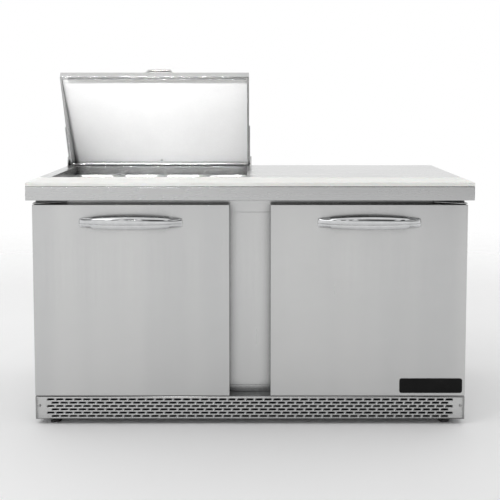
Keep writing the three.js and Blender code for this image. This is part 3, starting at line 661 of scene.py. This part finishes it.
def wire_shelf(node):
    """A wire shelf: a bent frame, three runners below and closely spaced wires along its depth."""
    low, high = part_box(node)
    frame_radius, wire_radius, corner = 0.0023, 0.0015, 0.02
    short_of_edge = 0.002
    spaces = 26
    bm = bmesh.new()
    outline = round_rectangle(
        high.x - low.x - 2 * frame_radius, high.y - low.y - 2 * frame_radius, corner, 6)
    centre = (low + high) / 2
    z = low.z + frame_radius
    tube(bm, [(centre.x + u, centre.y + v, z) for u, v in outline], frame_radius, 10, closed=True)
    z = low.z + wire_radius
    for share in (0.25, 0.5, 0.75):
        y = low.y + share * (high.y - low.y)
        tube(bm, [(low.x + short_of_edge, y, z), (high.x - short_of_edge, y, z)], wire_radius)
    z = high.z - wire_radius
    for i in range(1, spaces):
        x = low.x + i * (high.x - low.x) / spaces
        tube(bm, [(x, low.y + short_of_edge, z), (x, high.y - short_of_edge, z)], wire_radius)
    finish_piece(node + "_wires", bm, WIRE, "cabinet", (node,))


wire_shelf("left_shelf")
wire_shelf("right_shelf")


# ------------------------------------------------------------------ pans


def pan_mesh():
    """A one-sixth size pan with a rolled rim; the origin is the middle of the rim's top."""
    low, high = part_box("pan_rear_2")
    width, depth, height = high - low
    flange, corner, wall_corner = 0.0085, 0.021, 0.017
    rim_drop, base_lift, base_round = 0.0145, 0.001, 0.013
    base_corner_tighter = 0.008
    top_inset, bottom_inset = flange + 0.0028, flange + 0.0098
    bm = bmesh.new()
    rings = []

    def level(inset, z, radius):
        outline = round_rectangle(width - 2 * inset, depth - 2 * inset, radius)
        rings.append(ring(bm, [(u, v, z) for u, v in outline]))

    rim = (
        (0.0, -0.0016, 0.0), (0.0, -0.0006, 0.0), (0.0005, 0.0, 0.0), (0.006, 0.0, 0.001),
        (flange - 0.0006, -0.0004, 0.002), (flange + 0.0009, -0.002, 0.003),
        (flange + 0.0014, -0.005, 0.004), (flange + 0.0024, -0.012, 0.004), (top_inset, -rim_drop, 0.004),
    )
    for inset, z, tighter in rim:
        level(inset, z, corner - tighter)
    wall_steps = 10
    for i in range(1, wall_steps + 1):
        t = i / wall_steps
        z = -rim_drop - t * (height - rim_drop - base_lift - base_round)
        level(top_inset + t * (bottom_inset - top_inset), z, wall_corner)
    round_steps = 6
    for i in range(1, round_steps + 1):
        a = i / round_steps * math.pi / 2
        z = -height + base_lift + base_round * (1 - math.sin(a))
        radius = wall_corner - base_corner_tighter * i / round_steps
        level(bottom_inset + base_round * (1 - math.cos(a)), z, radius)
    skin(bm, rings, caps=False)
    bm.faces.new(rings[-1])
    bmesh.ops.recalc_face_normals(bm, faces=bm.faces)
    return bm


def pans():
    """The eight pans, each hung by its rim."""
    for row in ("front", "rear"):
        for column in range(1, 5):
            node = f"pan_{row}_{column}"
            low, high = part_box(node)
            rim_centre = ((low.x + high.x) / 2, (low.y + high.y) / 2, high.z)
            bm = pan_mesh()
            bmesh.ops.translate(bm, verts=bm.verts, vec=rim_centre)
            made = finish_piece(node + "_made", bm, STEEL_PAN, BODY_OF[node], (node,))
            thick = made.modifiers.new("sheet", "SOLIDIFY")
            thick.thickness = 0.0007
            thick.offset = -1


pans()

# ------------------------------------------------------------------ doors

for side in ("left", "right"):
    rebuilt(f"{side}_door_skin", STEEL_Z, edge=0.0003, outer=0.0026)
    rebuilt(f"{side}_door_liner", LINER, edge=0.0004, outer=0.0004)
    rebuilt(f"{side}_door_gasket", RUBBER, edge=0.0012)
rebuilt("name_plate", BLACK_GLOSS, edge=0.0007)


# The bar of a bow handle in section: millimetres forward from its back, and up from its crease.
HANDLE_SECTION = (
    (0, -15), (0, 2), (0, 19), (5.2, 26.6), (12.2, 18.6), (13.1, 8), (12.0, 0.6), (9.3, -1.2), (8.6, -9.5),
    (4.4, -17.6),
)


def smooth_loop(points, steps=4):
    """A smooth closed curve through points."""
    count = len(points)
    made = []
    for i in range(count):
        p0, p1, p2, p3 = (Vector(points[(i + k - 1) % count]) for k in range(4))
        for k in range(steps):
            t = k / steps
            made.append(0.5 * (
                2 * p1 + (p2 - p0) * t + (2 * p0 - 5 * p1 + 4 * p2 - p3) * t ** 2
                + (3 * p1 - p0 - 3 * p2 + p3) * t ** 3
            ))
    return made


def bow_handle(side):
    """A cast bar with a lip below, which swells to its middle and curves back into the door."""
    node = f"{side}_door_handle"
    low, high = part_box(node)
    face = high.y
    stand = high.y - low.y
    half = (high.x - low.x) / 2
    crease_drop = 0.0015
    centre_x, crease_z = (low.x + high.x) / 2, (low.z + high.z) / 2 - crease_drop
    furthest = 0.9985
    finger_gap, thinnest = 0.0075, 0.0004
    foot_start, foot_blend = 0.745, 0.05
    flatness, shoulder = 2.6, 0.8
    tip, tip_roundness = 0.02, 0.4
    up_at_ends, down_at_ends = 0.62, 0.66
    section = smooth_loop(HANDLE_SECTION)
    depth = max(forward for forward, _ in section) / 1000
    bm = bmesh.new()
    rings = []
    stations = 80
    for k in range(stations + 1):
        t = max(-furthest, min(furthest, -math.cos(math.pi * k / stations)))
        bow = stand * (1 - abs(t) ** flatness) ** shoulder
        swell = 1 - t * t
        end = min(1.0, (1 - abs(t)) / tip) ** tip_roundness
        up = (up_at_ends + (1 - up_at_ends) * swell) * end
        down = (down_at_ends + (1 - down_at_ends) * swell) * end
        foot_share = min(max((abs(t) - foot_start) / foot_blend, 0.0), 1.0)
        foot_share = foot_share * foot_share * (3 - 2 * foot_share)
        outer = face - bow
        inner = max(face - max(bow - depth, finger_gap) * (1 - foot_share), outer + thinnest)
        points = []
        for forward, height in section:
            y = inner + (outer - inner) * max(forward, 0) / (1000 * depth)
            z = crease_z + height / 1000 * (up if height > 0 else down)
            points.append((centre_x + t * half, y, z))
        rings.append(ring(bm, points))
    skin(bm, rings)
    finish_piece(node + "_cast", bm, CHROME, BODY_OF[node], (node,), sharp=50)


bow_handle("left")
bow_handle("right")

# ------------------------------------------------------------------ lid


def steel_of_panel(face):
    """Whether a face is on the panel's rim or side walls; its field and front wall are white."""
    smallest_field = 0.05
    field = face.calc_area() > smallest_field and face.normal.y < -0.5
    front_wall = face.normal.z < -0.7 and abs(face.normal.x) < 0.3
    return not (field or front_wall)


rebuilt("lid_shell", STEEL_X, edge=0.0005)
rebuilt("lid_inner_panel", LID_PANEL, edge=0.0008, second=(STEEL_X, steel_of_panel))
rebuilt("lid_arm_left", STEEL_X, edge=0.0007)
rebuilt("lid_arm_right", STEEL_X, edge=0.0007)
rebuilt("lid_handle", STEEL_X, edge=0.0012)

# ------------------------------------------------------------------ refrigeration

rebuilt("evaporator_cover", SHEET_ALUMINIUM, edge=0.0008)
rebuilt("evaporator_coil", FINS, edge=0.0005)
rebuilt("condenser_coil", FINS, edge=0.0005)
rebuilt("evaporator_fan", BLACK, edge=0.0004)
rebuilt("condenser_fan", BLACK, edge=0.0004)
rebuilt("evaporator_fan_motor", ENAMEL, edge=0.0015)
rebuilt("condenser_fan_motor", ENAMEL, edge=0.0015)
rebuilt("compressor", ENAMEL, edge=0.002)
rebuilt("discharge_line", COPPER, edge=0.0001)
rebuilt("condensate_pan", BLACK, edge=0.0005)
rebuilt("temperature_control", BLACK, edge=0.0015)
rebuilt("cord_gland", BLACK, edge=0.0005)


def fan_guard():
    """Round wires over the evaporator fan's hole, on three spokes."""
    cover_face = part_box("evaporator_cover")[0].y
    centre = sum(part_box("evaporator_fan"), Vector()) / 2
    ring_y, spoke_y = cover_face - 0.0035, cover_face - 0.0014
    ring_points = 48
    ring_radii = (0.022, 0.040, 0.058, 0.078)
    ring_wire, spoke_wire = 0.0013, 0.0014
    spoke_start, spoke_end = 0.016, 0.086
    bm = bmesh.new()

    def at(radius, turn, y):
        a = math.radians(turn)
        return (centre.x + radius * math.cos(a), y, centre.z + radius * math.sin(a))

    for radius in ring_radii:
        path = [at(radius, 360 * i / ring_points, ring_y) for i in range(ring_points)]
        tube(bm, path, ring_wire, closed=True)
    for turn in (90, 210, 330):
        tube(bm, [at(spoke_start, turn, spoke_y), at(spoke_end, turn, spoke_y)], spoke_wire)
    finish_piece("evaporator_fan_guard", bm, WIRE, "cabinet")


fan_guard()


def sheet_screws():
    """The screws that hold the back sheet on, all round its edge."""
    low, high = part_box("back_panel")
    inset = 0.012

    def spaced(start, end, count):
        return [start + inset + i * (end - start - 2 * inset) / (count - 1) for i in range(count)]

    bm = bmesh.new()
    columns = spaced(low.x, high.x, count=7)
    heights = spaced(low.z, high.z, count=4)
    for x in columns:
        for z in (heights[0], heights[-1]):
            screw(bm, (x, high.y, z), (0, 1, 0))
    for x in (columns[0], columns[-1]):
        for z in heights[1:-1]:
            screw(bm, (x, high.y, z), (0, 1, 0))
    finish_piece("back_panel_screws", bm, STEEL_SCREW, "cabinet")


sheet_screws()


def panel_screw():
    """The single screw at the foot of the lid's panel, in the middle."""
    low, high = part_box("lid_inner_panel")
    mesh = frame["nodes"]["lid_inner_panel"].data
    above_foot = 0.009
    field = max((p for p in mesh.polygons if p.normal.y < -0.5), key=lambda p: p.area)
    down = Vector((0, field.normal.z, -field.normal.y)).normalized()
    if down.z > 0:
        down.negate()
    corners = [mesh.vertices[i].co for i in field.vertices]
    foot_of_field = min(corners, key=lambda corner: corner.z)
    at = Vector(((low.x + high.x) / 2, foot_of_field.y, foot_of_field.z)) - above_foot * down
    bm = bmesh.new()
    screw(bm, at, field.normal, radius=0.005)
    finish_piece("lid_panel_screw", bm, STEEL_SCREW, "lid")


panel_screw()

# ------------------------------------------------------------------ floor, lights and camera


ROOM_STRENGTH = 1.07

# Stops over how high a ray points, where 0 is straight down, 0.5 is level and 1 is straight up:
# the grey of the walls, and the shares of the dark gap and of the dim front.
WALLS = ((0.0, 0.95), (0.47, 0.95), (0.53, 1.0), (0.75, 0.92), (1.0, 0.9))
DARK_GAP = ((0.63, 0.0), (0.67, 1.0), (0.82, 1.0), (0.86, 0.0))
DIM_FRONT = ((0.44, 0.0), (0.51, 1.0), (0.61, 1.0), (0.67, 0.0))
# The greys that the dark gap and the dim front come down to.
DARK_LEVEL, DIM_LEVEL = 0.02, 0.12
# Both are in front only. The dim front has this share in the middle and grows toward the right.
FRONT_RISE = -4.0
RIGHT_RISE, MIDDLE_SHARE = 2.4, 0.62
# The dark gap is broken up by a noise, squeezed along X, Y and Z and cut at these stops.
GAP_SQUEEZE = (7.0, 1.5, 0.6)
GAP_CUT = ((0.40, 0.0), (0.44, 1.0))

# How much of the floor shows, over its distance in metres from below the origin.
FADE_START, FADE_END = 1.2, 4.5
FLOOR_FADE = ((0.0, 1.0), (0.35, 0.75), (0.7, 0.25), (1.0, 0.0))


def pale_floor():
    """A wide pale disc that fades into the background away from the table."""
    sides = 64
    drop = 0.0002
    bm = bmesh.new()
    rings = []
    for radius in (1.0, 3.0, 9.0, 40.0):
        turns = (2 * math.pi * i / sides for i in range(sides))
        rings.append(ring(bm, [(radius * math.cos(a), radius * math.sin(a), 0) for a in turns]))
    skin(bm, rings, caps=False)
    bm.faces.new(rings[0])
    mesh = bpy.data.meshes.new("floor")
    bm.to_mesh(mesh)
    bm.free()
    look = Look("pale_floor", Roughness=0.85)
    look.colour(look.ramp(look.noise(look.place((0.8, 0.8, 0.8)), detail=3), grey(0.92), grey(0.94)))
    distance = look.node("VectorMath", operation="LENGTH")
    look.link(look.place(), distance.inputs[0])
    fade = look.stops(distance.outputs["Value"], FLOOR_FADE, FADE_START, FADE_END)
    look.link(fade, look.shader.inputs["Alpha"])
    mesh.materials.append(look.material)
    made = bpy.data.objects.new("floor", mesh)
    scene.collection.objects.link(made)
    made.location.z = cad_bounds[0].z - drop


def studio_light():
    """A white room, dim low in front and dimmer to the right, with a broken dark gap in its lights higher up.
    The background itself is plain white."""
    world = bpy.data.worlds.new("studio")
    scene.world = world
    world.use_nodes = True
    tree = world.node_tree

    def node(kind, **settings):
        made = tree.nodes.new("ShaderNode" + kind)
        for key, value in settings.items():
            setattr(made, key, value)
        return made

    def math_node(operation, *values):
        made = node("Math", operation=operation, use_clamp=True)
        for socket, value in zip(made.inputs, values):
            if isinstance(value, bpy.types.NodeSocket):
                tree.links.new(value, socket)
            else:
                socket.default_value = value
        return made.outputs["Value"]

    def ramp(factor, stops):
        made = node("ValToRGB")
        made.color_ramp.interpolation = "EASE"
        set_stops(made, stops)
        tree.links.new(factor, made.inputs["Fac"])
        return made.outputs["Color"]

    direction = node("TexCoord").outputs["Generated"]
    split = node("SeparateXYZ")
    tree.links.new(direction, split.inputs["Vector"])
    height = math_node("MULTIPLY_ADD", split.outputs["Z"], 0.5, 0.5)
    level = ramp(height, WALLS)
    band = ramp(height, DARK_GAP)
    front = math_node("MULTIPLY", split.outputs["Y"], FRONT_RISE)
    squeeze = node("Mapping")
    squeeze.inputs["Scale"].default_value = GAP_SQUEEZE
    tree.links.new(direction, squeeze.inputs["Vector"])
    pieces = node("TexNoise")
    pieces.inputs["Scale"].default_value = 1.0
    pieces.inputs["Detail"].default_value = 0.0
    tree.links.new(squeeze.outputs["Vector"], pieces.inputs["Vector"])
    gaps = ramp(pieces.outputs["Fac"], GAP_CUT)
    dark = math_node("MULTIPLY", math_node("MULTIPLY", band, front), gaps)
    low_front = ramp(height, DIM_FRONT)
    rightward = math_node("MULTIPLY_ADD", split.outputs["X"], RIGHT_RISE, MIDDLE_SHARE)
    dim = math_node("MULTIPLY", math_node("MULTIPLY", low_front, front), rightward)

    def mixed(share, light, shade):
        made = node("Mix", data_type="RGBA")
        tree.links.new(share, made.inputs[0])
        tree.links.new(light, made.inputs[6])
        made.inputs[7].default_value = (shade, shade, shade, 1)
        return made.outputs[2]

    room = mixed(dark, mixed(dim, level, DIM_LEVEL), DARK_LEVEL)
    lit = tree.nodes["Background"]
    lit.inputs["Strength"].default_value = ROOM_STRENGTH
    tree.links.new(room, lit.inputs["Color"])
    plain = node("Background")
    plain.inputs["Color"].default_value = (1, 1, 1, 1)
    choose = node("MixShader")
    tree.links.new(node("LightPath").outputs["Is Camera Ray"], choose.inputs["Fac"])
    tree.links.new(lit.outputs["Background"], choose.inputs[1])
    tree.links.new(plain.outputs["Background"], choose.inputs[2])
    tree.links.new(choose.outputs["Shader"], tree.nodes["World Output"].inputs["Surface"])


def area_light(name, at, toward, size, power, spread=180):
    """A rectangular lamp of a power in watts; spread is how wide its beam is, in degrees."""
    data = bpy.data.lights.new(name, "AREA")
    data.shape = "RECTANGLE"
    data.size, data.size_y = size
    data.energy = power
    data.spread = math.radians(spread)
    made = bpy.data.objects.new(name, data)
    scene.collection.objects.link(made)
    made.location = at
    made.rotation_mode = "QUATERNION"
    made.rotation_quaternion = (Vector(at) - Vector(toward)).to_track_quat("Z", "Y")


def camera():
    """Square to the front, a little above the worktop and looking slightly down."""
    looking_down = 4.45
    data = bpy.data.cameras.new("camera")
    data.sensor_width = 36
    data.lens = 66.13
    data.shift_y = -0.17
    data.clip_end = 100
    made = bpy.data.objects.new("camera", data)
    scene.collection.objects.link(made)
    made.location = (0, -3.4984, 1.1454)
    made.rotation_euler = (math.radians(90 - looking_down), 0, 0)
    scene.camera = made


scene.view_settings.view_transform = "Standard"
pale_floor()
studio_light()
area_light("key", at=(-2.4, -2.2, 3.4), toward=(0, 0, 0.5), size=(2.0, 2.0), power=25)
area_light(
    "lid_soft", at=(-0.9, -4.2, 2.8), toward=(-0.375, 0.22, 1.12), size=(0.8, 0.4), power=2.1, spread=12)
camera()
